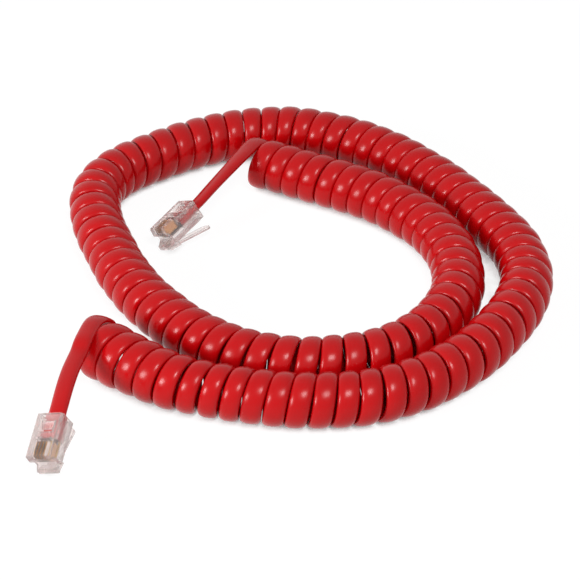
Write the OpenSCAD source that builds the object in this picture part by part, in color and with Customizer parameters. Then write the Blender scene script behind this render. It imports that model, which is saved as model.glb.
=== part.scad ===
// Coiled telephone handset cord: one flat jacketed cord, wound into a left-handed curly cord with
// a straight tail and a clear four-contact modular plug at each end. It lies on a table, in a
// spiral of about one and three quarter laps.
// Millimetres. +Z is up, and the origin is at the middle of the base of the cord's box.

/* [Cord] */
// Width of the flat cord
cord_w = 5; // [4.6:0.1:5.2]
// Thickness of the flat cord
cord_t = 2.5; // [2.2:0.1:2.7]

/* [Coil] */
// Outside diameter of the coiled part
coil_d = 15; // [13.8:0.2:15.2]
// Number of curls
curls = 100; // [84:1:100]
// Least gap between one curl and the next
coil_gap = 0.5; // [0.45:0.05:1]

/* [Plug body] */
// Width of each plug
plug_w = 7.65; // [7.4:0.05:7.8]
// Length of each plug's body, from its rear face to its nose
plug_l = 12.7; // [12.4:0.1:13]
// Height of the body above the cord's middle, to the contact side
plug_top = 3.2; // [3:0.1:3.4]
// Depth of the body below the cord's middle, to the latch side
plug_base = 2.9; // [2.6:0.1:3.1]
// How far the lower half of the nose is stepped back
nose_step = 0.8; // [0.5:0.1:1]
// Height of the nose's step above the cord's middle
nose_step_z = 0.5; // [0.3:0.1:0.7]

/* [Latch] */
// Width of the latch's root and locking shoulders
latch_root_w = 6; // [5.6:0.1:6.4]
// Width of the latch's lever
latch_lever_w = 3.2; // [3:0.1:3.6]
// Thickness of the lever
latch_t = 1; // [0.8:0.1:1.2]
// How far the root stands out in front of the body
latch_front = 1.4; // [1.2:0.1:1.6]
// Length of the root, from its front to the locking shoulders
latch_root_l = 3.6; // [3.2:0.1:4]
// How far the lever's free end stands out behind the body
latch_tail = 1.5; // [1:0.1:1.8]
// Angle between the lever and the body when it is let go
latch_open = 16; // [15:0.5:17]

/* [Contacts and conductors] */
// Distance between neighbouring contacts
contact_pitch = 1.02; // [1:0.01:1.04]
// Thickness of a contact blade
contact_t = 0.35; // [0.3:0.01:0.4]
// Length of a contact blade
contact_l = 4.2; // [3.9:0.1:4.4]
// Depth of a blade's upper edge below the contact side
contact_sink = 0.4; // [0.3:0.05:0.6]
// Outside diameter of an insulated conductor
wire_d = 0.9; // [0.8:0.05:0.95]
// Length of bare conductors between the jacket's end and the contact blades
strip_l = 1.3; // [1.1:0.1:1.7]

/* [Hidden] */

// Clearances
jacket_gap = 0.15;    // between the jacket and the chamber it lies in
wire_gap = 0.04;      // between the conductors and the chamber they lie in
blade_gap = 0.02;     // on each side of a contact blade in its slot
blade_end_gap = 0.15; // in front of, behind and under a contact blade
seat_gap = 0.02;      // under a strain-relief bar and at the end of the jacket
bar_gap = 0.1;        // on each side of a strain-relief bar in its window

// The coil's centre line, seen from above: control points of a smooth curve
COIL_ROUTE = [
    [-73.5, -18.1], [-55, -34.6], [-38, -49.1], [-16.5, -55.4], [6, -59.3], [30, -53.6], [49, -36.6],
    [63.3, -10.6], [64, 10.1], [50.4, 33.7], [37.5, 52.4], [20.5, 67.9], [-1.5, 77.9], [-22.5, 73.9],
    [-44.5, 61.4], [-62.5, 44.4], [-55.5, 16.4], [-47, -5.1], [-33.5, -25.6], [-15, -40.6], [12, -43.6],
    [35, -30.6], [47, -4.6], [41, 20.4], [24.5, 39.4], [5, 49.4], [-13, 59.3], [-33, 68.4]
];
// Middle points of each tail, between the coil and the plug
TAIL_A_ROUTE = [[-58.1, -45.4, 14.4], [-60, -52.1, 14.2], [-61.3, -59.9, 13.4]];
TAIL_B_ROUTE = [[-22.4, 43.5, 12.1], [-26, 37.9, 11]];

// Where each plug lies: the middle of the cord's entry, and its roll, pitch and yaw. Its nose
// points along its own +X, its contact side faces its own +Z, and the jacket enters at X = 0.
PLUG_A_AT = [-63, -69.6, 10.5];
PLUG_A_TURN = [20, 24, -103];
PLUG_B_AT = [-31, 30.9, 9];
PLUG_B_TURN = [29, 16, -131];

first_turn = 27;     // angle by which the first curl is turned outwards, towards its tail
first_swell = 1.1;   // how much larger the first curl's radius is; the next curls are ever less so
swell_curls = 6;     // curls from the first to the first one of the coil's own size
lead = cord_w;       // straight lead at each end of the coil
plug_lead = 1.5;     // straight lead behind each plug
tail_reach = 5;      // how far a tail's curve keeps to the coil's lead
plug_reach = 2;      // how far a tail's curve keeps to the plug's lead
tail_rings = 12;     // rings along the curved part of a tail

// The coil's own sizes
coil_r = coil_d / 2 - cord_t / 2;             // radius of the cord's middle in the coil
foot = cord_w / 10;                           // depth of the flat on the underside of each curl
coil_z = coil_d / 2 - foot;                   // height of the coil's centre line
foot_a = acos(coil_z / (coil_d / 2));         // half the angle of the flat
arc = (180 - foot_a) / 3;                     // angle between the other rings
RING_ANGLES = [0, arc, 2 * arc, 180 - foot_a, 180 + foot_a, 360 - 2 * arc, 360 - arc];
rings_per_curl = len(RING_ANGLES);
coil_spans = len(COIL_ROUTE) - 3;             // spans of the route's curve

// Flat-oval sections of the cord, [across its width, across its thickness]
side_round = 0.4 * cord_t;                    // from the cord's side to the flat part of its section
flat_half = cord_w / 2 - side_round;          // half of that flat part
cheek = 0.2 * cord_t;                         // half height of the rounded side
SECTION_8 = [
    [cord_w / 2, cheek], [flat_half, cord_t / 2], [-flat_half, cord_t / 2], [-cord_w / 2, cheek],
    [-cord_w / 2, -cheek], [-flat_half, -cord_t / 2], [flat_half, -cord_t / 2], [cord_w / 2, -cheek]
];

// Sizes of the plug, along X from its rear face and along Z from the cord's middle
edge = 0.3;                                   // chamfer of the body's and the latch's edges
wall = 0.3;                                   // thinnest wall at the nose
nose_lean = 0.3;                              // how far the nose leans out at its step
step_x = plug_l - nose_step;                  // front of the body's lower half
root_h = 1.9;                                 // height of the block that carries the latch
root_lip = 0.5;                               // height of that block's front
root_back = step_x - nose_step;               // how far that block reaches back into the body
chamber_w = cord_w + 2 * jacket_gap;
chamber_h = cord_t + 2 * jacket_gap;
wire_z = -wire_d / 2;                         // the conductors lie just below the cord's middle
wire_end = step_x - wall;                     // where the conductors stop, inside the nose
wire_box_w = 3 * contact_pitch + wire_d + 2 * wire_gap;

// Contact blades, each with a foot over its conductor and two prongs that pierce it
blade_front = plug_l - 0.4;
blade_rear = blade_front - contact_l;
blade_top = plug_top - contact_sink;
blade_foot = 0.1;                             // underside of the blade, above the conductor
blade_step_z = nose_step_z + wall + blade_end_gap;
blade_cut = 0.3;                              // chamfer of the blade's upper corners
prong_w = 0.6;
prong_in = 0.4;                               // from the end of the foot to a prong
prong_tip = wire_z - 0.25;                    // the prongs end inside the conductor
slot_sill = blade_step_z + 0.3;               // lowest open point of a slot at the nose
jacket_in = blade_rear - strip_l;             // where the jacket ends, inside the plug

// Windows of the strain-relief bars: one over the jacket's end, one over the conductors just past it
jacket_window_l = 3.5;
jacket_window_back = 1.4;                     // from the jacket's end back to its window
wire_window_back = 0.1;                       // from the jacket's end on to the wires' window
wire_window_front = 0.5;                      // from the wires' window on to the contact blades
jacket_window = [jacket_in - jacket_window_back - jacket_window_l, jacket_in - jacket_window_back];
wire_window = [jacket_in + wire_window_back, blade_rear - wire_window_front];
window_w = 4.2;
bar_drop = 0.3;                               // depth of a bar's root below the contact side
bar_t = 0.8;                                  // thickness of a bar at its root
bar_slope = 0.45;                             // share of the window over which a bar slopes down
bar_short = 0.4;                              // share of the window in front of a bar's free edge

// The latch turns about a line where its top meets the body's latch side
hinge_x = plug_l + 0.3;
root_front = plug_l + latch_front;
lever_end = -latch_tail;
lever_drop = (hinge_x - lever_end) * tan(latch_open);
through = 1;                                  // how far a cutting solid stands out

PVC = "firebrick";
CLEAR = [0.86, 0.86, 0.88, 0.5];
GOLD = "goldenrod";
WIRE_COLOURS = ["black", "red", "green", "yellow"];

// --- Curves and tubes ----------------------------------------------------------------------------

// Uniform cubic B-spline through control points p, at parameter u from 0 to len(p) - 3
function spline(p, u) =
    let (k = min(floor(u), len(p) - 4), t = u - k)
    ((1 - t) ^ 3 * p[k] + (3 * t ^ 3 - 6 * t ^ 2 + 4) * p[k + 1]
        + (-3 * t ^ 3 + 3 * t ^ 2 + 3 * t + 1) * p[k + 2] + t ^ 3 * p[k + 3]) / 6;

function spline_slope(p, u) =
    let (k = min(floor(u), len(p) - 4), t = u - k)
    (-(1 - t) ^ 2 * p[k] + (3 * t ^ 2 - 4 * t) * p[k + 1]
        + (-3 * t ^ 2 + 2 * t + 1) * p[k + 2] + t ^ 2 * p[k + 3]) / 2;

function unit(v) = v / norm(v);

// Section outline set at point p, its width along side and its thickness along out
function ring(section, p, side, out) = [for (s = section) p + s[0] * side + s[1] * out];

// Closed tube of triangles through a list of rings
module tube(rings) {
    sides = len(rings[0]);
    last = len(rings) - 1;
    points = [for (r = rings) each r];
    walls = [for (i = [0:last - 1]) for (j = [0:sides - 1])
        let (a = i * sides + j, b = i * sides + (j + 1) % sides)
        each [[a, b, b + sides], [a, b + sides, a + sides]]];
    end = last * sides;
    caps = [for (j = [1:sides - 2]) each [[0, j + 1, j], [end, end + j, end + j + 1]]];
    polyhedron(points = points, faces = concat(walls, caps), convexity = 10);
}

// --- The coil ------------------------------------------------------------------------------------

// Direction of the coil's centre line after c curls; the first curl is turned outwards
function coil_dir(c) =
    let (s = spline_slope(COIL_ROUTE, c * coil_spans / curls),
         a = atan2(s[1], s[0]) + first_turn * max(0, 1 - c) ^ 2)
    [cos(a), sin(a), 0];

// The first few curls are looser than the rest, and rest on the table as they do
function coil_swell(c) = first_swell * max(0, 1 - c / swell_curls);

function coil_centre(c) =
    let (p = spline(COIL_ROUTE, c * coil_spans / curls)) [p[0], p[1], coil_z + coil_swell(c)];

// The cord winds from the top towards the left of its direction, which makes a left-handed coil
function coil_left(c) = let (d = coil_dir(c)) [-d[1], d[0], 0];
function coil_out(c) = let (a = 360 * c) cos(a) * [0, 0, 1] + sin(a) * coil_left(c);
function coil_point(c) = coil_centre(c) + (coil_r + coil_swell(c)) * coil_out(c);

// A curl is as wide as the cord, but where the coil bends its inner side is squeezed by its neighbours
function room_after(c) = c > curls - 1 ? cord_w + coil_gap : norm(coil_point(c + 1) - coil_point(c));
function room_before(c) = c < 1 ? cord_w + coil_gap : norm(coil_point(c) - coil_point(c - 1));
function coil_w(c) = min(cord_w, room_after(c) - coil_gap, room_before(c) - coil_gap);

function coil_section(w) = let (flat = w / 2 - side_round) [
    [w / 2, 0], [flat, cord_t / 2], [-flat, cord_t / 2],
    [-w / 2, 0], [-flat, -cord_t / 2], [flat, -cord_t / 2]
];
function coil_ring(c) = ring(coil_section(coil_w(c)), coil_point(c), coil_dir(c), coil_out(c));

COIL_STEPS = concat([for (i = [0:curls - 1]) for (a = RING_ANGLES) i + a / 360], [curls]);
COIL_RINGS = [for (c = COIL_STEPS) coil_ring(c)];
COIL_START = coil_point(0) - lead * coil_left(0);
COIL_END = coil_point(curls) + lead * coil_left(curls);

module curly_cord() {
    start = ring(coil_section(cord_w), COIL_START, coil_dir(0), [0, 0, 1]);
    end = ring(coil_section(cord_w), COIL_END, coil_dir(curls), [0, 0, 1]);
    color(PVC) tube(concat([start], COIL_RINGS, [end]));
}

// Length of the cord in the coil, and its least gap to itself: from one curl to the next, and
// from one lap to the next
function length_of(p) =
    let (steps = [for (i = [1:len(p) - 1]) norm(p[i] - p[i - 1])]) steps * [for (s = steps) 1];

LAP = curls / 3; // curls that are surely a lap apart
CURL_GAP = min([for (i = [0:len(COIL_RINGS) - rings_per_curl - 1])
    for (p = COIL_RINGS[i]) for (q = COIL_RINGS[i + rings_per_curl]) norm(p - q)]);
LAP_GAP = min([for (a = [0:0.5:curls - LAP]) for (b = [curls:-0.5:a + LAP])
    norm(coil_centre(a) - coil_centre(b)) - coil_d - coil_swell(a)]);
echo(least_gap_between_curls = CURL_GAP, least_gap_between_laps = LAP_GAP);
echo(length_in_coil = length_of([for (c = [0:0.05:curls]) coil_point(c)]));

// --- Where the plugs lie -------------------------------------------------------------------------

function turn_x(v, a) = [v[0], v[1] * cos(a) - v[2] * sin(a), v[1] * sin(a) + v[2] * cos(a)];
function turn_y(v, a) = [v[0] * cos(a) + v[2] * sin(a), v[1], -v[0] * sin(a) + v[2] * cos(a)];
function turn_z(v, a) = [v[0] * cos(a) - v[1] * sin(a), v[0] * sin(a) + v[1] * cos(a), v[2]];
function turned(v, turn) = turn_z(turn_y(turn_x(v, turn[0]), turn[1]), turn[2]);

module at_plug(end) {
    translate(end == "a" ? PLUG_A_AT : PLUG_B_AT) rotate(end == "a" ? PLUG_A_TURN : PLUG_B_TURN) children();
}

// --- The tails -----------------------------------------------------------------------------------

// A tail runs from the coil's lead, along its middle points, straight into the plug and on to
// the end of the jacket
module tail(from, heading, side, route, plug_at, plug_turn) {
    into = turned([1, 0, 0], plug_turn);
    across = turned([0, 1, 0], plug_turn);
    entry = plug_at - plug_lead * into;
    path = concat([from - tail_reach * heading, from, from + tail_reach * heading], route,
        [entry - plug_reach * into, entry, entry + plug_reach * into]);
    curve = [for (i = [0:tail_rings])
        let (done = i / tail_rings, u = done * (len(path) - 3),
             d = unit(spline_slope(path, u)),
             w = side * (1 - done) + across * done,
             s = unit(w - (w * d) * d))
        ring(SECTION_8, spline(path, u), s, cross(s, d))];
    inside = ring(SECTION_8, plug_at + jacket_in * into, across, cross(across, into));
    color(PVC) tube(concat(curve, [inside]));
}

module tail_a() {
    tail(COIL_START, -coil_left(0), coil_dir(0), TAIL_A_ROUTE, PLUG_A_AT, PLUG_A_TURN);
}

module tail_b() {
    tail(COIL_END, coil_left(curls), -coil_dir(curls), TAIL_B_ROUTE, PLUG_B_AT, PLUG_B_TURN);
}

// --- The plug ------------------------------------------------------------------------------------

// Solid of a side outline in X and Z, w wide across the plug
module slab(w, outline) {
    rotate([90, 0, 0]) linear_extrude(w, center = true) polygon(outline);
}

// Box given by its ends along X and Z, w wide across the plug
module bar_box(x, w, z) {
    translate([x[0], -w / 2, z[0]]) cube([x[1] - x[0], w, z[1] - z[0]]);
}

function contact_y(i) = contact_pitch * (1.5 - i);

module housing_blank() {
    intersection() {
        slab(plug_w, [
            [0, -plug_base], [step_x, -plug_base], [step_x, nose_step_z],
            [plug_l + nose_lean, nose_step_z], [plug_l, plug_top], [0, plug_top]
        ]);
        // Body seen along the cord, with its four long edges chamfered
        rotate([90, 0, 90]) linear_extrude(plug_l + nose_lean) polygon([
            [plug_w / 2 - edge, -plug_base], [plug_w / 2, edge - plug_base],
            [plug_w / 2, plug_top - edge], [plug_w / 2 - edge, plug_top],
            [edge - plug_w / 2, plug_top], [-plug_w / 2, plug_top - edge],
            [-plug_w / 2, edge - plug_base], [edge - plug_w / 2, -plug_base]
        ]);
    }
    // Block that carries the latch at the nose
    slab(latch_root_w, [
        [root_back, -plug_base], [root_front, -plug_base], [root_front, root_lip - plug_base],
        [step_x, root_h - plug_base], [root_back, root_h - plug_base]
    ]);
}

// Strain-relief bar, hung from the rear edge of its window and pressed down at its front
module relief_bar(window, seat) {
    root = window[0] - bar_gap;
    free = window[1] - bar_short * (window[1] - window[0]);
    slab(window_w - 2 * bar_gap, [
        [root, plug_top - bar_drop], [root, plug_top - bar_drop - bar_t],
        [window[0] + bar_slope * (window[1] - window[0]), seat], [free, seat], [free, seat + bar_t]
    ]);
}

module housing() {
    above = plug_top + through;
    difference() {
        housing_blank();
        // Chamber of the jacket, open at the rear
        bar_box([-through, jacket_in + seat_gap], chamber_w, [-chamber_h / 2, chamber_h / 2]);
        // Chamber of the conductors
        bar_box([jacket_in, wire_end + wire_gap], wire_box_w, [wire_z - wire_d / 2 - wire_gap, wire_gap]);
        // Windows of the two strain-relief bars
        bar_box(jacket_window, window_w, [0, above]);
        bar_box(wire_window, window_w, [0, above]);
        // Slots of the contact blades, open at the contact side and the nose
        for (i = [0:3]) translate([0, contact_y(i), 0]) {
            slab(contact_t + 2 * blade_gap, [
                [blade_rear - blade_end_gap, wire_z], [wire_end, wire_z],
                [wire_end, blade_step_z - blade_end_gap],
                [blade_front + blade_end_gap, blade_step_z - blade_end_gap],
                [blade_front + blade_end_gap, slot_sill], [plug_l + through, slot_sill],
                [plug_l + through, above], [blade_rear - blade_end_gap, above]
            ]);
        }
    }
    relief_bar(jacket_window, cord_t / 2 + seat_gap);
    relief_bar(wire_window, seat_gap);
}

module latch() {
    under = -plug_base - latch_t;
    intersection() {
        slab(latch_root_w, [
            [hinge_x, -plug_base], [root_front, -plug_base], [root_front, under + edge],
            [root_front - edge, under], [hinge_x, under],
            [lever_end, under - lever_drop], [lever_end, -plug_base - lever_drop]
        ]);
        // Latch seen from below: a wide root with locking shoulders, then a lever with a round end
        translate([0, 0, under - lever_drop]) linear_extrude(lever_drop + latch_t) {
            translate([root_front - latch_root_l, -latch_root_w / 2]) square([latch_root_l, latch_root_w]);
            translate([lever_end + latch_lever_w / 2, -latch_lever_w / 2])
                square([hinge_x - lever_end - latch_lever_w / 2, latch_lever_w]);
            translate([lever_end + latch_lever_w / 2, 0]) circle(d = latch_lever_w, $fn = 48);
        }
    }
}

module prongs() {
    for (x = [blade_rear + prong_in, wire_end - blade_end_gap - prong_in - prong_w])
        bar_box([x, x + prong_w], contact_t, [prong_tip, blade_foot]);
}

module contact(i) {
    foot_front = wire_end - blade_end_gap;
    translate([0, contact_y(i), 0]) {
        slab(contact_t, [
            [blade_rear, blade_foot], [foot_front, blade_foot], [foot_front, blade_step_z],
            [blade_front, blade_step_z], [blade_front, blade_top - 2 * blade_cut],
            [blade_front - blade_cut / 2, blade_top - blade_cut / 2],
            [blade_front - 2 * blade_cut, blade_top],
            [blade_rear + blade_cut, blade_top], [blade_rear, blade_top - blade_cut]
        ]);
        prongs();
    }
}

// Conductor from the end of the jacket, slit by its contact's prongs
module wire(i) {
    translate([0, contact_y(i), 0]) difference() {
        translate([jacket_in, 0, wire_z]) rotate([0, 90, 0])
            cylinder(h = wire_end - jacket_in, d = wire_d, $fn = 32);
        prongs();
    }
}

// Place of each conductor across the plug, counted from +Y: the flat cord, which doesn't twist,
// meets the other plug the other way round
function wire_place(end, c) = end == "a" ? 3 - c : c;

// --- Nodes ---------------------------------------------------------------------------------------

curly_cord();
tail_a();
tail_b();
for (end = ["a", "b"]) {
    color(CLEAR) at_plug(end) housing();
    color(CLEAR) at_plug(end) latch();
    for (i = [0:3])
        color(GOLD) at_plug(end) contact(i);
    for (c = [0:3])
        color(WIRE_COLOURS[c]) at_plug(end) wire(wire_place(end, c));
}
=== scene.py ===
"""Curly telephone handset cord with a clear modular plug at each end.

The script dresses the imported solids. One flat PVC-jacketed cord leaves the first plug, winds
left-handed into about a hundred curls that lie on the table in a loose spiral, and ends in the
second plug. Everything is in metres, in the frame of the solids.
"""
import logging
import math
from dataclasses import dataclass, field
from enum import Enum
from typing import Any

import bmesh
import bpy
import numpy as np
from mathutils import Matrix, Vector


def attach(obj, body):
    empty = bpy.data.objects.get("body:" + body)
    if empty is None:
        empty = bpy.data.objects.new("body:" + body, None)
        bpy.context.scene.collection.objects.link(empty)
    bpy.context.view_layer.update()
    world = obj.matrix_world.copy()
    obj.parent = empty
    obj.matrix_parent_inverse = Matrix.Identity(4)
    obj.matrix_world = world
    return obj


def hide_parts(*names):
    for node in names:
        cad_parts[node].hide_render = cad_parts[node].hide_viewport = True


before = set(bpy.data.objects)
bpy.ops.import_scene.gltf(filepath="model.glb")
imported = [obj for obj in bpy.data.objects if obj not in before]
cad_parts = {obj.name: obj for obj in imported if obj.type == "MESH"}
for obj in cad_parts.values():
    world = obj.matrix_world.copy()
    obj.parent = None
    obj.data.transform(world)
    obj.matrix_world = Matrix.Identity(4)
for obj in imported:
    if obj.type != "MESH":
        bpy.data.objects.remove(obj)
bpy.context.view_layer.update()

MM = 0.001
CORD_BODY = "cord"
WHITE = (1.0, 1.0, 1.0, 1.0)
LOG = logging.getLogger("handset_cord")
Route = tuple[tuple[float, ...], ...]


# --- Helpers ------------------------------------------------------------------------------------


def srgb(code: str) -> tuple[float, float, float, float]:
    """Turns an sRGB colour into the linear values that shaders use.

    Args:
        code: The colour as six hex digits, with or without a leading hash sign.

    Returns:
        Linear red, green and blue, and an alpha of 1.
    """
    digits = code.lstrip("#")
    channels = [int(digits[i:i + 2], 16) / 255 for i in (0, 2, 4)]
    linear = [c / 12.92 if c <= 0.04045 else ((c + 0.055) / 1.055) ** 2.4 for c in channels]
    return linear[0], linear[1], linear[2], 1.0


def add_node(
    tree: bpy.types.NodeTree,
    kind: str,
    settings: dict[str, Any] | None = None,
    inputs: dict[str | int, Any] | None = None,
) -> bpy.types.Node:
    """Adds one node to a tree, with its settings, values and links.

    Args:
        tree: The shader or geometry tree.
        kind: The node's type, as Blender names it.
        settings: The node's own options and their values.
        inputs: Its sockets, by name or number, and for each a value or the socket to link from.

    Returns:
        The new node.
    """
    made = tree.nodes.new(kind)
    for name, value in (settings or {}).items():
        setattr(made, name, value)
    for key, value in (inputs or {}).items():
        if isinstance(value, bpy.types.NodeSocket):
            tree.links.new(value, made.inputs[key])
        else:
            made.inputs[key].default_value = value
    return made


def compute(tree: bpy.types.NodeTree, operation: str, *values: Any) -> bpy.types.NodeSocket:
    """Adds one sum to a tree.

    Args:
        tree: The shader or geometry tree.
        operation: The sum's name, as Blender's math node gives it.
        values: A number or a socket for each of its inputs.

    Returns:
        The result.
    """
    return add_node(tree, "ShaderNodeMath", {"operation": operation}, dict(enumerate(values))).outputs[0]


def read_stored(tree: bpy.types.NodeTree, name: str, kind: str = "FLOAT_VECTOR") -> bpy.types.NodeSocket:
    """Reads a stored attribute in a geometry tree."""
    node = add_node(tree, "GeometryNodeInputNamedAttribute", {"data_type": kind}, {"Name": name})
    return node.outputs["Attribute"]


def store(
    tree: bpy.types.NodeTree,
    geometry: bpy.types.NodeSocket,
    name: str,
    value: bpy.types.NodeSocket,
    kind: str = "FLOAT_VECTOR",
) -> bpy.types.NodeSocket:
    """Stores a value at every point of a geometry.

    Args:
        tree: The geometry tree.
        geometry: The geometry to store it on.
        name: The new attribute's name.
        value: The value.
        kind: The value's data type.

    Returns:
        The geometry with the attribute.
    """
    return add_node(tree, "GeometryNodeStoreNamedAttribute", {"data_type": kind, "domain": "POINT"}, {
        "Geometry": geometry, "Name": name, "Value": value}).outputs[0]


def object_noise(tree: bpy.types.NodeTree, size: float, detail: float) -> bpy.types.NodeSocket:
    """Adds noise that stays with its piece.

    Args:
        tree: The material's tree.
        size: The size of the noise's features in millimetres.
        detail: How many finer layers it has.

    Returns:
        The noise's strength.
    """
    place = add_node(tree, "ShaderNodeTexCoord")
    return add_node(tree, "ShaderNodeTexNoise", {}, {
        "Vector": place.outputs["Object"], "Scale": 1 / (size * MM), "Detail": detail}).outputs["Fac"]


def empty_material(name: str) -> bpy.types.Material:
    """Makes a material whose tree is still empty.

    Args:
        name: The material's name.

    Returns:
        The new material.
    """
    made = bpy.data.materials.new(name)
    made.use_nodes = True
    made.node_tree.nodes.clear()
    return made


def link_mesh(name: str, mesh: bpy.types.Mesh) -> bpy.types.Object:
    """Puts a mesh into the scene as an object at the origin.

    Args:
        name: The name of the object and its mesh.
        mesh: The mesh.

    Returns:
        The new object.
    """
    mesh.name = name
    piece = bpy.data.objects.new(name, mesh)
    bpy.context.scene.collection.objects.link(piece)
    return piece


def unit(v: np.ndarray) -> np.ndarray:
    """Scales each vector to a length of one."""
    return v / np.linalg.norm(v, axis=-1, keepdims=True)


def spline(points: np.ndarray, u: np.ndarray) -> tuple[np.ndarray, np.ndarray]:
    """Follows a uniform cubic B-spline.

    Args:
        points: The control points, one row each.
        u: Where to look, from 0 to the number of points less 3.

    Returns:
        The places on the curve, and the curve's slope at each.
    """
    k = np.minimum(np.floor(u).astype(int), len(points) - 4)
    t = (u - k)[:, None]
    p0, p1, p2, p3 = (points[k + i] for i in range(4))
    place = ((1 - t) ** 3 * p0 + (3 * t**3 - 6 * t**2 + 4) * p1
             + (-3 * t**3 + 3 * t**2 + 3 * t + 1) * p2 + t**3 * p3) / 6
    slope = (-(1 - t) ** 2 * p0 + (3 * t**2 - 4 * t) * p1
             + (-3 * t**2 + 2 * t + 1) * p2 + t**2 * p3) / 2
    return place, slope


# --- Finishes -----------------------------------------------------------------------------------


@dataclass(frozen=True)
class ExtrudedPvc:
    """Flexible PVC jacket, extruded and heat-set in its curls: satin gloss, faint die lines.

    Lengths are in millimetres. The die lines and the clouds of colour have a size across the
    cord and one along it.
    """

    colour: str = "#BF0409"
    shade: str = "#A70308"
    smoothest: float = 0.21
    roughest: float = 0.28
    ior: float = 1.53
    sheen: float = 0.21
    die_line: tuple[float, float] = (0.35, 25.0)
    die_line_depth: float = 0.03
    die_line_strength: float = 0.12
    cloud: tuple[float, float] = (6.0, 9.0)

    def along_cord(
        self, tree: bpy.types.NodeTree, size: tuple[float, float], detail: float
    ) -> bpy.types.NodeSocket:
        """Adds noise that follows the cord by its stored cord_space.

        Args:
            tree: The material's tree.
            size: The size of the noise's features, across the cord and along it.
            detail: How many finer layers it has.

        Returns:
            The noise's strength.
        """
        across, run = (1 / (length * MM) for length in size)
        space = add_node(tree, "ShaderNodeAttribute", {"attribute_name": "cord_space"})
        scaled = add_node(tree, "ShaderNodeMapping", {}, {
            "Vector": space.outputs["Vector"], "Scale": (across, across, run)})
        noise = add_node(tree, "ShaderNodeTexNoise", {}, {
            "Vector": scaled.outputs["Vector"], "Scale": 1.0, "Detail": detail})
        return noise.outputs["Fac"]

    def material(self) -> bpy.types.Material:
        """Builds the jacket's material.

        Returns:
            Red PVC, for a mesh with a stored cord_space.
        """
        made = empty_material("extruded_red_pvc")
        tree = made.node_tree
        # The extruder's die leaves fine lines along the cord
        lines = self.along_cord(tree, self.die_line, 2.0)
        # Colour and gloss vary a little from one centimetre of cord to the next
        clouds = self.along_cord(tree, self.cloud, 3.0)
        tint = add_node(tree, "ShaderNodeMix", {"data_type": "RGBA"}, {
            0: clouds, 6: srgb(self.colour), 7: srgb(self.shade)})
        gloss = add_node(tree, "ShaderNodeMapRange", {}, {
            "Value": clouds, "From Min": 0.3, "From Max": 0.7,
            "To Min": self.smoothest, "To Max": self.roughest})
        bump = add_node(tree, "ShaderNodeBump", {}, {
            "Height": lines, "Strength": self.die_line_strength, "Distance": self.die_line_depth * MM})
        shader = add_node(tree, "ShaderNodeBsdfPrincipled", {}, {
            "Base Color": tint.outputs[2], "Roughness": gloss.outputs["Result"],
            "Normal": bump.outputs["Normal"], "IOR": self.ior, "Specular IOR Level": self.sheen})
        add_node(tree, "ShaderNodeOutputMaterial", {}, {"Surface": shader.outputs[0]})
        return made


@dataclass(frozen=True)
class MouldedPolycarbonate:
    """Clear polycarbonate, injection moulded: glossy, with a faint grey-pink cast.

    The sizes of the ripple that the mould leaves are in millimetres. A part of the light,
    straight_share, passes through unbent.
    """

    colour: str = "#F3EBE9"
    roughness: float = 0.05
    ior: float = 1.5
    clearness: float = 0.9
    straight_share: float = 0.24
    ripple: float = 2.5
    ripple_depth: float = 0.05
    ripple_strength: float = 0.1

    def material(self) -> bpy.types.Material:
        """Builds the plugs' clear material.

        Returns:
            Clear polycarbonate, for the housings and latches.
        """
        made = empty_material("clear_moulded_polycarbonate")
        tree = made.node_tree
        bump = add_node(tree, "ShaderNodeBump", {}, {
            "Height": object_noise(tree, self.ripple, 2.0), "Strength": self.ripple_strength,
            "Distance": self.ripple_depth * MM})
        shader = add_node(tree, "ShaderNodeBsdfPrincipled", {}, {
            "Base Color": srgb(self.colour), "Roughness": self.roughness, "IOR": self.ior,
            "Transmission Weight": self.clearness, "Normal": bump.outputs["Normal"]})
        # The walls are thin, so much of what is behind them shows in its own place
        through = add_node(tree, "ShaderNodeBsdfTransparent", {}, {"Color": srgb(self.colour)})
        both = add_node(tree, "ShaderNodeMixShader", {}, {
            0: self.straight_share, 1: shader.outputs[0], 2: through.outputs[0]})
        add_node(tree, "ShaderNodeOutputMaterial", {}, {"Surface": both.outputs[0]})
        return made


@dataclass(frozen=True)
class GoldPlate:
    """Phosphor bronze blade, punched and gold plated: warm, with dull patches sized in millimetres."""

    colour: str = "#F6C27C"
    dull: str = "#C48C50"
    smoothest: float = 0.24
    roughest: float = 0.42
    metallic: float = 0.5
    patch: float = 0.6

    def material(self) -> bpy.types.Material:
        """Builds the contacts' material.

        Returns:
            Gold plate over bronze.
        """
        made = empty_material("gold_plated_bronze")
        tree = made.node_tree
        wear = object_noise(tree, self.patch, 3.0)
        tint = add_node(tree, "ShaderNodeMix", {"data_type": "RGBA"}, {
            0: wear, 6: srgb(self.colour), 7: srgb(self.dull)})
        gloss = add_node(tree, "ShaderNodeMapRange", {}, {
            "Value": wear, "To Min": self.smoothest, "To Max": self.roughest})
        shader = add_node(tree, "ShaderNodeBsdfPrincipled", {}, {
            "Base Color": tint.outputs[2], "Roughness": gloss.outputs["Result"],
            "Metallic": self.metallic})
        add_node(tree, "ShaderNodeOutputMaterial", {}, {"Surface": shader.outputs[0]})
        return made


class WireColour(Enum):
    """Insulation colours of the four conductors, in their order across the flat cord."""

    BLACK = "#16181A"
    RED = "#B3161C"
    GREEN = "#1F7A3C"
    YELLOW = "#D9B23A"


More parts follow.
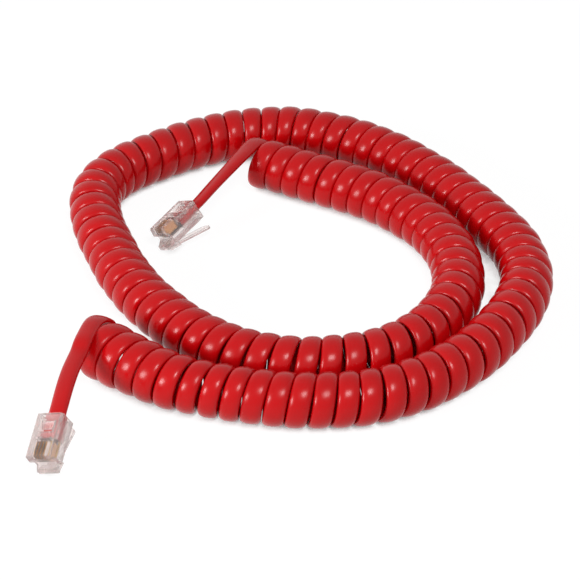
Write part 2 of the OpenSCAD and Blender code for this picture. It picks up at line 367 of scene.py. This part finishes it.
@dataclass(frozen=True)
class WireInsulation:
    """Polypropylene insulation of a conductor: plain, with waxy patches sized in millimetres."""

    colour: WireColour
    smoothest: float = 0.30
    roughest: float = 0.46
    patch: float = 0.8

    def material(self) -> bpy.types.Material:
        """Builds the material of one conductor's insulation.

        Returns:
            Insulation in the conductor's colour.
        """
        made = empty_material(f"{self.colour.name.lower()}_wire_insulation")
        tree = made.node_tree
        gloss = add_node(tree, "ShaderNodeMapRange", {}, {
            "Value": object_noise(tree, self.patch, 2.0), "To Min": self.smoothest,
            "To Max": self.roughest})
        shader = add_node(tree, "ShaderNodeBsdfPrincipled", {}, {
            "Base Color": srgb(self.colour.value), "Roughness": gloss.outputs["Result"]})
        add_node(tree, "ShaderNodeOutputMaterial", {}, {"Surface": shader.outputs[0]})
        return made


# --- Camera, light and table --------------------------------------------------------------------


@dataclass(frozen=True)
class ProductCamera:
    """Long lens that looks down at the cord from the front. Lengths in millimetres."""

    target: tuple[float, float, float] = (-2.7, -7.3, 7.45)
    distance: float = 781.2
    elevation: float = 35.0
    lens: float = 175.5
    sensor: float = 36.0

    def place(self) -> bpy.types.Object:
        """Adds the camera and makes it the scene's own.

        Returns:
            The camera.
        """
        data = bpy.data.cameras.new("product_camera")
        data.lens = self.lens
        data.sensor_width = self.sensor
        data.clip_start = 0.05
        data.clip_end = 20.0
        camera = bpy.data.objects.new("product_camera", data)
        tilt = math.radians(self.elevation)
        back = Vector((0, -math.cos(tilt), math.sin(tilt))) * self.distance
        camera.location = (Vector(self.target) + back) * MM
        camera.rotation_euler = (math.pi / 2 - tilt, 0, 0)
        bpy.context.scene.collection.objects.link(camera)
        bpy.context.scene.camera = camera
        return camera


@dataclass(frozen=True)
class SoftBox:
    """Square soft box that faces the cord. Angles in degrees, lengths in metres."""

    name: str
    azimuth: float
    elevation: float
    distance: float
    size: float
    watts: float

    def place(self) -> bpy.types.Object:
        """Adds the lamp, turned towards the middle of the cord.

        Returns:
            The lamp.
        """
        data = bpy.data.lights.new(self.name, "AREA")
        data.shape = "SQUARE"
        data.size = self.size
        data.energy = self.watts
        lamp = bpy.data.objects.new(self.name, data)
        a, e = math.radians(self.azimuth), math.radians(self.elevation)
        away = Vector((math.sin(a) * math.cos(e), -math.cos(a) * math.cos(e), math.sin(e)))
        lamp.location = away * self.distance
        lamp.rotation_euler = away.to_track_quat("Z", "Y").to_euler()
        bpy.context.scene.collection.objects.link(lamp)
        return lamp


@dataclass(frozen=True)
class Studio:
    """White table in even white light, with two soft boxes in front of the cord.

    Lengths are in metres. Where the cord leaves less than shaded_at of the sky open within shade_reach,
    the glow is fully taken away, a painted shade in which the real shadow shows, and above clear_at it is
    back.
    """

    boxes: tuple[SoftBox, ...] = (
        SoftBox("left_soft_box", azimuth=-60.0, elevation=23.0, distance=1.0, size=0.3, watts=6.5),
        SoftBox("right_soft_box", azimuth=15.0, elevation=57.0, distance=1.0, size=0.3, watts=5.7),
    )
    ambient: float = 0.24
    table_reach: float = 3.0
    table_glow: float = 1.06
    table_colour: tuple[float, float, float, float] = (0.8, 0.8, 0.8, 1.0)
    shadow_share: float = 0.12
    shade_reach: float = 0.01
    shaded_at: float = 0.08
    clear_at: float = 0.22

    def seen_directly(self, tree: bpy.types.NodeTree) -> bpy.types.NodeSocket:
        """Adds the test for rays that show the background itself, in view, gloss or clear plastic.

        Args:
            tree: The tree of the world or of a material.

        Returns:
            1 for such a ray and 0 for any other.
        """
        path = add_node(tree, "ShaderNodeLightPath")
        shown = compute(tree, "MAXIMUM", path.outputs["Is Camera Ray"], path.outputs["Is Glossy Ray"])
        return compute(tree, "MAXIMUM", shown, path.outputs["Is Transmission Ray"])

    def light(self) -> None:
        """Sets the world and the soft boxes."""
        world = bpy.data.worlds.new("white_studio")
        bpy.context.scene.world = world
        world.use_nodes = True
        tree = world.node_tree
        tree.nodes.clear()
        strength = add_node(tree, "ShaderNodeMapRange", {}, {
            "Value": self.seen_directly(tree), "To Min": self.ambient, "To Max": 1.0})
        sky = add_node(tree, "ShaderNodeBackground", {}, {
            "Color": WHITE, "Strength": strength.outputs["Result"]})
        add_node(tree, "ShaderNodeOutputWorld", {}, {"Surface": sky.outputs[0]})
        for box in self.boxes:
            box.place()

    def table(self) -> bpy.types.Object:
        """Adds the white table top, which keeps a faint shadow of the cord.

        Returns:
            The table top, which belongs to none of the part's bodies.
        """
        reach = self.table_reach
        mesh = bpy.data.meshes.new("table_top")
        mesh.from_pydata([(-reach, -reach, 0), (reach, -reach, 0), (reach, reach, 0), (-reach, reach, 0)],
                         [], [(0, 1, 2, 3)])
        top = link_mesh("table_top", mesh)
        white = empty_material("white_table_laminate")
        tree = white.node_tree
        matt = add_node(tree, "ShaderNodeBsdfDiffuse", {}, {"Color": self.table_colour})
        glow = add_node(tree, "ShaderNodeEmission", {}, {"Color": WHITE, "Strength": self.table_glow})
        # Where the cord lies close over it, an occlusion mask takes the table's glow away: painted shade,
        # under which the table's real shadow from the lamps shows
        open_sky = add_node(tree, "ShaderNodeAmbientOcclusion", {"samples": 8}, {
            "Distance": self.shade_reach})
        clear = add_node(tree, "ShaderNodeMapRange", {}, {
            "Value": open_sky.outputs["AO"], "From Min": self.shaded_at, "From Max": self.clear_at,
            "To Max": 1 - self.shadow_share})
        share = compute(tree, "MULTIPLY", self.seen_directly(tree), clear.outputs["Result"])
        both = add_node(tree, "ShaderNodeMixShader", {}, {
            0: share, 1: matt.outputs[0], 2: glow.outputs[0]})
        add_node(tree, "ShaderNodeOutputMaterial", {}, {"Surface": both.outputs[0]})
        mesh.materials.append(white)
        return top


# --- The cord -----------------------------------------------------------------------------------


@dataclass(frozen=True)
class PlugPlace:
    """Where a plug lies: the middle of the cord's entry in millimetres, and its turn in degrees."""

    at: tuple[float, float, float]
    turn: tuple[float, float, float]

    def matrix(self) -> Matrix:
        """Works out how the plug is placed.

        Returns:
            The step from the plug's own frame to the cord's, both in metres.
        """
        x, y, z = (math.radians(a) for a in self.turn)
        turn = Matrix.Rotation(z, 4, "Z") @ Matrix.Rotation(y, 4, "Y") @ Matrix.Rotation(x, 4, "X")
        return Matrix.Translation(Vector(self.at) * MM) @ turn

    def axis(self, letter: str) -> np.ndarray:
        """Gives one of the plug's own axes as a unit vector."""
        return np.array(self.matrix().to_3x3().col["XYZ".index(letter)])


PLUG_A = PlugPlace((-63, -69.6, 10.5), (20, 24, -103))
PLUG_B = PlugPlace((-31, 30.9, 9), (29, 16, -131))


@dataclass
class FlatCord:
    """The whole cord as one swept length, from inside one plug to inside the other.

    Lengths are in millimetres, and places along the coil in curls from the first plug.

    Attributes:
        width: The straight cord's width.
        thickness: Its thickness.
        fullness: The power of its section: 2 for an ellipse, more for a squarer one.
        sides: The points around its section.
        length: The whole cord's length; not used.
        coil_diameter: The coil's outer diameter.
        curls: How many curls it has.
        rings_per_curl: The sections in one curl.
        coil_gap: What stays free between curls that press on each other.
        spread_width: The cord's width in the coil, where its neighbours leave it room.
        open_curls: Where the curls have opened again.
        open_share: How much of their spread those have lost.
        evenness: 1 where the curls lie evenly along the route, 0 where the route's points rule.
        first_turn: The sideways turn of the coil's first curl, in degrees.
        first_swell: How much larger the first curl's radius is.
        swell_curls: Where that ends.
        calm_curls: The curls at each end that keep to the route.
        wander_along: How far the others stray along the coil, and their shortest wave in curls.
        wander_aside: The same to its sides.
        wander_in: The same towards its middle.
        seed: What fixes how they stray.
        plug_lead: The straight run outside a plug.
        tail_reach: How far a tail keeps its direction at the coil.
        plug_reach: How far it keeps it at the plug.
        jacket_in: How far the jacket reaches into a plug.
        tail_b_twist: 1 for an even twist of the second tail, more for one close to the coil.
        step: The length between the sections of a tail.
        route_samples: The points at which the route is measured.
        tail_samples: The points at which a tail is measured.
        coil_route: The control points of the coil's route, those of the solid coil.
        tail_a_route: The points that the first tail passes, those of the solid tail.
        tail_b_route: The same for the second tail.
        path: The cord's middle line in metres, which build() fills; it is not used.
    """

    width: float = 5.0
    thickness: float = 2.5
    fullness: float = 2.25
    sides: int = 22
    length: float = 4130.0
    coil_diameter: float = 15.0
    curls: int = 102
    rings_per_curl: int = 40
    coil_gap: float = 0.04
    spread_width: float = 5.75
    open_curls: tuple[float, float] = (4.8, 8.8)
    open_share: float = 0.7
    evenness: float = 0.5
    first_turn: float = 27.0
    first_swell: float = 1.1
    swell_curls: float = 6.0
    calm_curls: float = 2.0
    wander_along: tuple[float, float] = (0.1, 1.7)
    wander_aside: tuple[float, float] = (0.14, 3.1)
    wander_in: tuple[float, float] = (0.05, 1.3)
    seed: int = 7
    plug_lead: float = 1.5
    tail_reach: float = 5.0
    plug_reach: float = 2.0
    jacket_in: float = 6.8
    tail_b_twist: float = 2.5
    step: float = 0.8
    route_samples: int = 2000
    tail_samples: int = 400
    coil_route: Route = (
        (-73.5, -18.1), (-55, -34.6), (-38, -49.1), (-16.5, -55.4), (6, -59.3), (30, -53.6),
        (49, -36.6), (63.3, -10.6), (64, 10.1), (50.4, 33.7), (37.5, 52.4), (20.5, 67.9),
        (-1.5, 77.9), (-22.5, 73.9), (-44.5, 61.4), (-62.5, 44.4), (-55.5, 16.4), (-47, -5.1),
        (-33.5, -25.6), (-15, -40.6), (12, -43.6), (35, -30.6), (47, -4.6), (41, 20.4),
        (24.5, 39.4), (5, 49.4), (-13, 59.3), (-33, 68.4),
    )
    tail_a_route: Route = ((-58.1, -45.4, 14.4), (-60, -52.1, 14.2), (-61.3, -59.9, 13.4))
    tail_b_route: Route = ((-22.4, 43.5, 12.1), (-26, 37.9, 11))
    path: list[list[float]] = field(default_factory=list)

    @property
    def radius(self) -> float:
        """Radius of the cord's middle in the coil."""
        return (self.coil_diameter - self.thickness) / 2

    def wander(
        self, c: np.ndarray, size: tuple[float, float], draw: np.random.Generator
    ) -> np.ndarray:
        """Adds up a few slow waves into a smooth uneven line.

        Args:
            c: Places along the coil, in curls.
            size: The line's usual height, and the length of its shortest wave in curls.
            draw: The source of its phases.

        Returns:
            The line's height at each place.
        """
        height, shortest = size
        waves = [(shortest * s, draw.uniform(0, 2 * math.pi)) for s in (1.0, 1.63, 2.71, 4.4)]
        return height / 2 * sum(np.sin(2 * math.pi * c / w + p) for w, p in waves)

    def swell(self, c: np.ndarray) -> np.ndarray:
        """Gives how much larger the first few curls are, which are looser than the rest."""
        return self.first_swell * np.maximum(0, 1 - c / self.swell_curls)

    def axis(self, c: np.ndarray) -> tuple[np.ndarray, np.ndarray]:
        """Follows the coil's centre line, on which the curls lie nearly evenly.

        Args:
            c: Places along the coil, in curls.

        Returns:
            The places on the centre line, and the coil's direction at each.
        """
        route = np.array(self.coil_route, float)
        u = np.linspace(0, len(route) - 3, self.route_samples)
        steps = np.linalg.norm(np.diff(spline(route, u)[0], axis=0), axis=1)
        gone = np.append(0, np.cumsum(steps)) / steps.sum()
        even = np.interp(c / self.curls, gone, u)
        place, slope = spline(route, even * self.evenness + c / self.curls * u[-1] * (1 - self.evenness))
        turn = np.arctan2(slope[:, 1], slope[:, 0])
        turn += math.radians(self.first_turn) * np.maximum(0, 1 - c) ** 2
        centre = np.column_stack([place, self.coil_diameter / 2 + self.swell(c)])
        return centre, np.column_stack([np.cos(turn), np.sin(turn), np.zeros(len(c))])

    def coil(self) -> tuple[np.ndarray, np.ndarray, np.ndarray]:
        """Winds the coil.

        Returns:
            The cord's middle at each ring, the direction out of the coil there, and the coil's own
            direction.
        """
        draw = np.random.default_rng(self.seed)
        c = np.linspace(0, self.curls, self.curls * self.rings_per_curl + 1)
        centre, along = self.axis(c)
        left = np.column_stack([-along[:, 1], along[:, 0], along[:, 2]])
        # The curls next to the tails keep to the route
        calm = np.minimum(1, np.minimum(c, self.curls - c) / self.calm_curls)[:, None]
        centre = centre + calm * along * self.wander(c, self.wander_along, draw)[:, None]
        centre = centre + calm * left * self.wander(c, self.wander_aside, draw)[:, None]
        reach = self.radius + self.swell(c) - np.abs(self.wander(c, self.wander_in, draw)) * calm[:, 0]
        # The first curl starts at the top and falls to the left, so the coil is left-handed
        turn = 2 * math.pi * c
        up = np.array([0.0, 0.0, 1.0])
        out = np.cos(turn)[:, None] * up + np.sin(turn)[:, None] * left
        return centre + reach[:, None] * out, out, along

    def tail(self, start: np.ndarray, heading: np.ndarray, route: Route, plug: PlugPlace) -> np.ndarray:
        """Runs a tail's middle line from the coil to the end of the jacket inside its plug.

        Args:
            start: The coil's last ring centre.
            heading: The cord's direction there, away from the coil.
            route: The points that the tail passes on its way.
            plug: The plug's place.

        Returns:
            The tail's ring centres, evenly spaced.
        """
        into = plug.axis("X")
        at = np.array(plug.at, float)
        entry = at - self.plug_lead * into
        lead = start + self.width * heading
        points = np.array([
            lead - self.tail_reach * heading, lead, lead + self.tail_reach * heading,
            *np.array(route, float),
            entry - self.plug_reach * into, entry, entry + self.plug_reach * into])
        fine, _ = spline(points, np.linspace(0, len(points) - 3, self.tail_samples))
        rough = np.vstack([start, fine, at + self.jacket_in * into])
        gone = np.concatenate([[0], np.cumsum(np.linalg.norm(np.diff(rough, axis=0), axis=1))])
        wanted = np.linspace(0, gone[-1], int(gone[-1] / self.step) + 1)
        return np.column_stack([np.interp(wanted, gone, rough[:, k]) for k in range(3)])

    def within(self, c: np.ndarray, first: float, last: float) -> np.ndarray:
        """Marks a stretch of the coil with 1, falling to 0 over the half curl at each of its ends."""
        return np.clip(np.minimum(c - first, last - c) * 2, 0, 1)

    def squeeze(self, wound: np.ndarray) -> np.ndarray:
        """Works out how wide the cord is in the coil: spread by its winding, pressed by its neighbours.

        The open curls have kept only part of that spread, and show the table between them.

        Args:
            wound: The coil's ring centres.

        Returns:
            Each ring's width as a share of the straight cord's.
        """
        lap = self.rings_per_curl
        room = np.linalg.norm(wound[lap:] - wound[:-lap], axis=1) - self.coil_gap
        free = np.full(lap, self.spread_width)
        width = np.minimum(self.spread_width, np.minimum(np.append(room, free), np.append(free, room)))
        c = np.arange(len(wound)) / lap
        spread = self.within(c, 0, self.curls) - self.open_share * self.within(c, *self.open_curls)
        width = np.minimum(width, self.width + (self.spread_width - self.width) * spread)
        near = 4
        shares = np.full(2 * near + 1, 1 / (2 * near + 1))
        eased = np.convolve(np.pad(width, near, mode="edge"), shares, mode="valid")
        return np.minimum(width, eased) / self.width

    def line(self) -> tuple[np.ndarray, np.ndarray, np.ndarray]:
        """Joins the tails and the coil into one line of ring centres.

        Returns:
            The ring centres, the direction that the cord's outer flat side faces at each, and the
            share of its width that the cord has there.
        """
        wound, out, along = self.coil()
        left = np.column_stack([-along[:, 1], along[:, 0], along[:, 2]])
        tail_a = self.tail(wound[0], -left[0], self.tail_a_route, PLUG_A)[:0:-1]
        tail_b = self.tail(wound[-1], left[-1], self.tail_b_route, PLUG_B)[1:]
        middle = np.vstack([tail_a, wound, tail_b])
        middle = self.eased(middle, len(tail_a))
        middle = self.eased(middle, len(tail_a) + len(wound) - 1)
        heading = unit(np.gradient(middle, axis=0))
        # Each tail twists from the coil's side to its plug's, the second mostly near the coil
        share_a = np.linspace(0, 1, len(tail_a), endpoint=False)[:, None]
        share_b = np.linspace(1, 0, len(tail_b) + 1)[1:, None] ** self.tail_b_twist
        across_a = share_a * along[0] + (1 - share_a) * PLUG_A.axis("Y")
        across_b = share_b * along[-1] - (1 - share_b) * PLUG_B.axis("Y")
        facing = np.vstack([
            np.cross(across_a, heading[:len(tail_a)]), out,
            np.cross(across_b, heading[-len(tail_b):])])
        facing -= (facing * heading).sum(1)[:, None] * heading
        share = np.concatenate([np.ones(len(tail_a)), self.squeeze(wound), np.ones(len(tail_b))])
        return middle, unit(facing), share

    def eased(self, line: np.ndarray, at: int) -> np.ndarray:
        """Smooths the line where a tail meets the coil.

        Args:
            line: The ring centres.
            at: The ring where they meet.

        Returns:
            The ring centres, moved a little on both sides of it.
        """
        window, passes = 7, 12
        eased = line.copy()
        for _ in range(passes):
            inner = eased[at - window:at + window + 1]
            eased[at - window + 1:at + window] = (inner[:-2] + 2 * inner[1:-1] + inner[2:]) / 4
        return eased

    def section(self, tree: bpy.types.NodeTree, given: bpy.types.Node) -> bpy.types.NodeSocket:
        """Adds the cord's section, a superellipse with flat sides and full round edges.

        Args:
            tree: The sweep's tree.
            given: The tree's own inputs.

        Returns:
            The section's curve, with each point's place in it stored as spot.
        """
        circle = add_node(tree, "GeometryNodeCurvePrimitiveCircle", {"mode": "RADIUS"}, {
            "Resolution": given.outputs["Sides"], "Radius": 1.0})
        place = add_node(tree, "GeometryNodeInputPosition").outputs[0]
        parts = add_node(tree, "ShaderNodeSeparateXYZ", {}, {0: place})
        power = compute(tree, "DIVIDE", 2.0, given.outputs["Fullness"])
        sized = []
        for axis, size in (("X", "Thickness"), ("Y", "Width")):
            bent = compute(tree, "POWER", compute(tree, "ABSOLUTE", parts.outputs[axis]), power)
            length = compute(tree, "MULTIPLY", bent, compute(tree, "MULTIPLY", given.outputs[size], 0.5))
            sized.append(compute(tree, "MULTIPLY", length, compute(tree, "SIGN", parts.outputs[axis])))
        corner = add_node(tree, "ShaderNodeCombineXYZ", {}, {"X": sized[0], "Y": sized[1]})
        shaped = add_node(tree, "GeometryNodeSetPosition", {}, {
            "Geometry": circle.outputs["Curve"], "Position": corner.outputs[0]})
        return store(tree, shaped.outputs[0], "spot", place)

    def sweep_tree(self, jacket: bpy.types.Material) -> bpy.types.NodeTree:
        """Builds the geometry nodes that sweep the section along the line.

        Args:
            jacket: The jacket's material.

        Returns:
            The tree, which takes the line and the section's sizes and gives the cord.
        """
        tree = bpy.data.node_groups.new("flat_cord_sweep", "GeometryNodeTree")
        face = tree.interface
        face.new_socket("Line", in_out="INPUT", socket_type="NodeSocketGeometry")
        face.new_socket("Cord", in_out="OUTPUT", socket_type="NodeSocketGeometry")
        for name in ("Width", "Thickness", "Fullness"):
            face.new_socket(name, in_out="INPUT", socket_type="NodeSocketFloat")
        face.new_socket("Sides", in_out="INPUT", socket_type="NodeSocketInt")
        given = add_node(tree, "NodeGroupInput")
        curve = add_node(tree, "GeometryNodeMeshToCurve", {}, {"Mesh": given.outputs["Line"]})
        turned = add_node(tree, "GeometryNodeSetCurveNormal", {"mode": "FREE"}, {
            "Curve": curve.outputs[0], "Normal": read_stored(tree, "facing")})
        run = add_node(tree, "GeometryNodeSplineParameter").outputs["Length"]
        swept = add_node(tree, "GeometryNodeCurveToMesh", {}, {
            "Curve": store(tree, turned.outputs[0], "run", run, "FLOAT"),
            "Profile Curve": self.section(tree, given), "Fill Caps": True})
        # cord_space holds each point's place in the section and its distance along the cord
        spot = add_node(tree, "ShaderNodeSeparateXYZ", {}, {0: read_stored(tree, "spot")})
        space = add_node(tree, "ShaderNodeCombineXYZ", {}, {
            "X": spot.outputs["X"], "Y": spot.outputs["Y"], "Z": read_stored(tree, "run", "FLOAT")})
        stored = store(tree, swept.outputs[0], "cord_space", space.outputs[0])
        # The section is widened or narrowed to its share at each ring
        change = compute(tree, "SUBTRACT", read_stored(tree, "share", "FLOAT"), 1.0)
        outward = compute(tree, "MULTIPLY", spot.outputs["Y"], change)
        shift = add_node(tree, "ShaderNodeVectorMath", {"operation": "SCALE"}, {
            0: read_stored(tree, "across"), "Scale": outward})
        sized = add_node(tree, "GeometryNodeSetPosition", {}, {
            "Geometry": stored, "Offset": shift.outputs[0]})
        real = add_node(tree, "GeometryNodeRealizeInstances", {}, {"Geometry": sized.outputs[0]})
        dressed = add_node(tree, "GeometryNodeSetMaterial", {}, {
            "Geometry": real.outputs[0], "Material": jacket})
        add_node(tree, "NodeGroupOutput", {}, {"Cord": dressed.outputs[0]})
        return tree

    def build(self, jacket: bpy.types.Material) -> bpy.types.Object:
        """Args:
            jacket: The jacket's material.

        Returns:
            The cord's mesh, which stands for the coil and both tails.
        """
        middle, facing, share = self.line()
        mesh = bpy.data.meshes.new("cord_line")
        mesh.from_pydata((middle * MM).tolist(), [(i, i + 1) for i in range(len(middle) - 1)], [])
        across = np.cross(unit(np.gradient(middle, axis=0)), facing)
        for name, vectors in (("facing", facing), ("across", across)):
            stored = mesh.attributes.new(name, "FLOAT_VECTOR", "POINT")
            stored.data.foreach_set("vector", vectors.astype(np.float32).ravel())
        stored = mesh.attributes.new("share", "FLOAT", "POINT")
        stored.data.foreach_set("value", share.astype(np.float32))
        cord = made_by_nodes("red_cord", mesh, self.sweep_tree(jacket), {
            "Width": self.width * MM, "Thickness": self.thickness * MM,
            "Fullness": self.fullness, "Sides": self.sides})
        smooth_sides(cord.data)
        gone = np.linalg.norm(np.diff(middle, axis=0), axis=1).sum()
        LOG.info("cord: %.1f mm long, %d rings", gone, len(middle))
        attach(cord, CORD_BODY)
        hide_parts("curly_cord", "tail_a", "tail_b")
        self.path = (middle * MM).tolist()
        return cord


def made_by_nodes(
    name: str, mesh: bpy.types.Mesh, tree: bpy.types.NodeTree, values: dict[str, Any]
) -> bpy.types.Object:
    """Runs geometry nodes on a mesh and keeps the result as a plain mesh.

    Args:
        name: The new piece's name.
        mesh: What the nodes start from.
        tree: The nodes.
        values: The tree's named inputs and their values.

    Returns:
        The new piece, with no modifier.
    """
    worker = link_mesh(f"{name}_worker", mesh)
    modifier = worker.modifiers.new("nodes", "NODES")
    modifier.node_group = tree
    sockets = {s.name: s.identifier for s in tree.interface.items_tree if s.in_out == "INPUT"}
    for key, value in values.items():
        modifier[sockets[key]] = value
    bpy.context.view_layer.update()
    ready = worker.evaluated_get(bpy.context.evaluated_depsgraph_get())
    result = bpy.data.meshes.new_from_object(ready)
    bpy.data.objects.remove(worker)
    return link_mesh(name, result)


def smooth_sides(mesh: bpy.types.Mesh) -> None:
    """Shades a swept tube smooth along its sides and flat on its end caps."""
    for polygon in mesh.polygons:
        polygon.use_smooth = len(polygon.vertices) <= 4


# --- The plugs ----------------------------------------------------------------------------------


@dataclass
class ModularPlug:
    """One clear plug with its latch, contacts and conductors.

    Lengths are in millimetres and angles in degrees. Points closer than weld are merged, faces
    within flat_angle of each other are one, and edges sharper than corner_angle are rounded.
    """

    end: str
    contacts: int = 4
    edge_round: float = 0.13
    edge_steps: int = 2
    weld: float = 0.001
    flat_angle: float = 1.0
    corner_angle: float = 20.0

    def dress(
        self,
        clear: bpy.types.Material,
        gold: bpy.types.Material,
        wires: dict[WireColour, bpy.types.Material],
    ) -> list[bpy.types.Object]:
        """Gives the plug its finishes.

        Args:
            clear: The material of the moulded pieces.
            gold: The material of the contacts.
            wires: The material of each conductor.

        Returns:
            The plug's pieces, which lie at the cord's end.
        """
        pieces = [
            self.moulded("housing", CORD_BODY, clear),
            self.moulded("latch", f"latch_{self.end}", clear)]
        pieces += [self.painted(f"contact_{i}", gold) for i in range(1, self.contacts + 1)]
        pieces += [self.painted(f"wire_{colour.name.lower()}", wires[colour]) for colour in wires]
        return pieces

    def moulded(self, part: str, body: str, clear: bpy.types.Material) -> bpy.types.Object:
        """Makes a moulded piece of the plug, with the fine rounded edges that a mould leaves.

        Args:
            part: The piece's name in the plug.
            body: The body that it moves with.
            clear: Its material.

        Returns:
            The new piece, which stands for the solid of that name.
        """
        node = f"plug_{self.end}_{part}"
        mesh = bpy.data.meshes.new(f"{node}_moulded")
        form = bmesh.new()
        form.from_mesh(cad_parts[node].data)
        bmesh.ops.remove_doubles(form, verts=form.verts, dist=self.weld * MM)
        bmesh.ops.dissolve_limit(
            form, angle_limit=math.radians(self.flat_angle), verts=form.verts, edges=form.edges)
        sharp = math.radians(self.corner_angle)
        corners = [e for e in form.edges if e.is_manifold and e.calc_face_angle() > sharp]
        bmesh.ops.bevel(form, geom=corners, offset=self.edge_round * MM, segments=self.edge_steps,
                        profile=0.5, affect="EDGES", clamp_overlap=True)
        form.to_mesh(mesh)
        form.free()
        mesh.materials.append(clear)
        piece = link_mesh(f"{node}_moulded", mesh)
        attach(piece, body)
        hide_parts(node)
        return piece

    def painted(self, part: str, material: bpy.types.Material) -> bpy.types.Object:
        """Gives one of the plug's solids its material.

        Args:
            part: The solid's name in the plug.
            material: Its material.

        Returns:
            The solid.
        """
        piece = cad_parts[f"plug_{self.end}_{part}"]
        piece.data.materials.clear()
        piece.data.materials.append(material)
        return piece


# --- Everything ---------------------------------------------------------------------------------


def main() -> None:
    """Builds the camera, the cord, the plugs and the studio, and reports each."""
    logging.basicConfig(level=logging.INFO, format="%(name)s: %(message)s")
    scene = bpy.context.scene
    scene.view_settings.view_transform = "Standard"
    ProductCamera().place()
    LOG.info("camera placed")
    flat_cord = FlatCord()
    cord = flat_cord.build(ExtrudedPvc().material())
    LOG.info("cord swept: %d faces", len(cord.data.polygons))
    clear, gold = MouldedPolycarbonate().material(), GoldPlate().material()
    wires = {colour: WireInsulation(colour).material() for colour in WireColour}
    for end in ("a", "b"):
        on_cord = ModularPlug(end).dress(clear, gold, wires)
        LOG.info("plug %s dressed: %d pieces", end, len(on_cord))
    studio = Studio()
    studio.light()
    studio.table()
    LOG.info("studio lit")


if __name__ == "__main__":
    main()
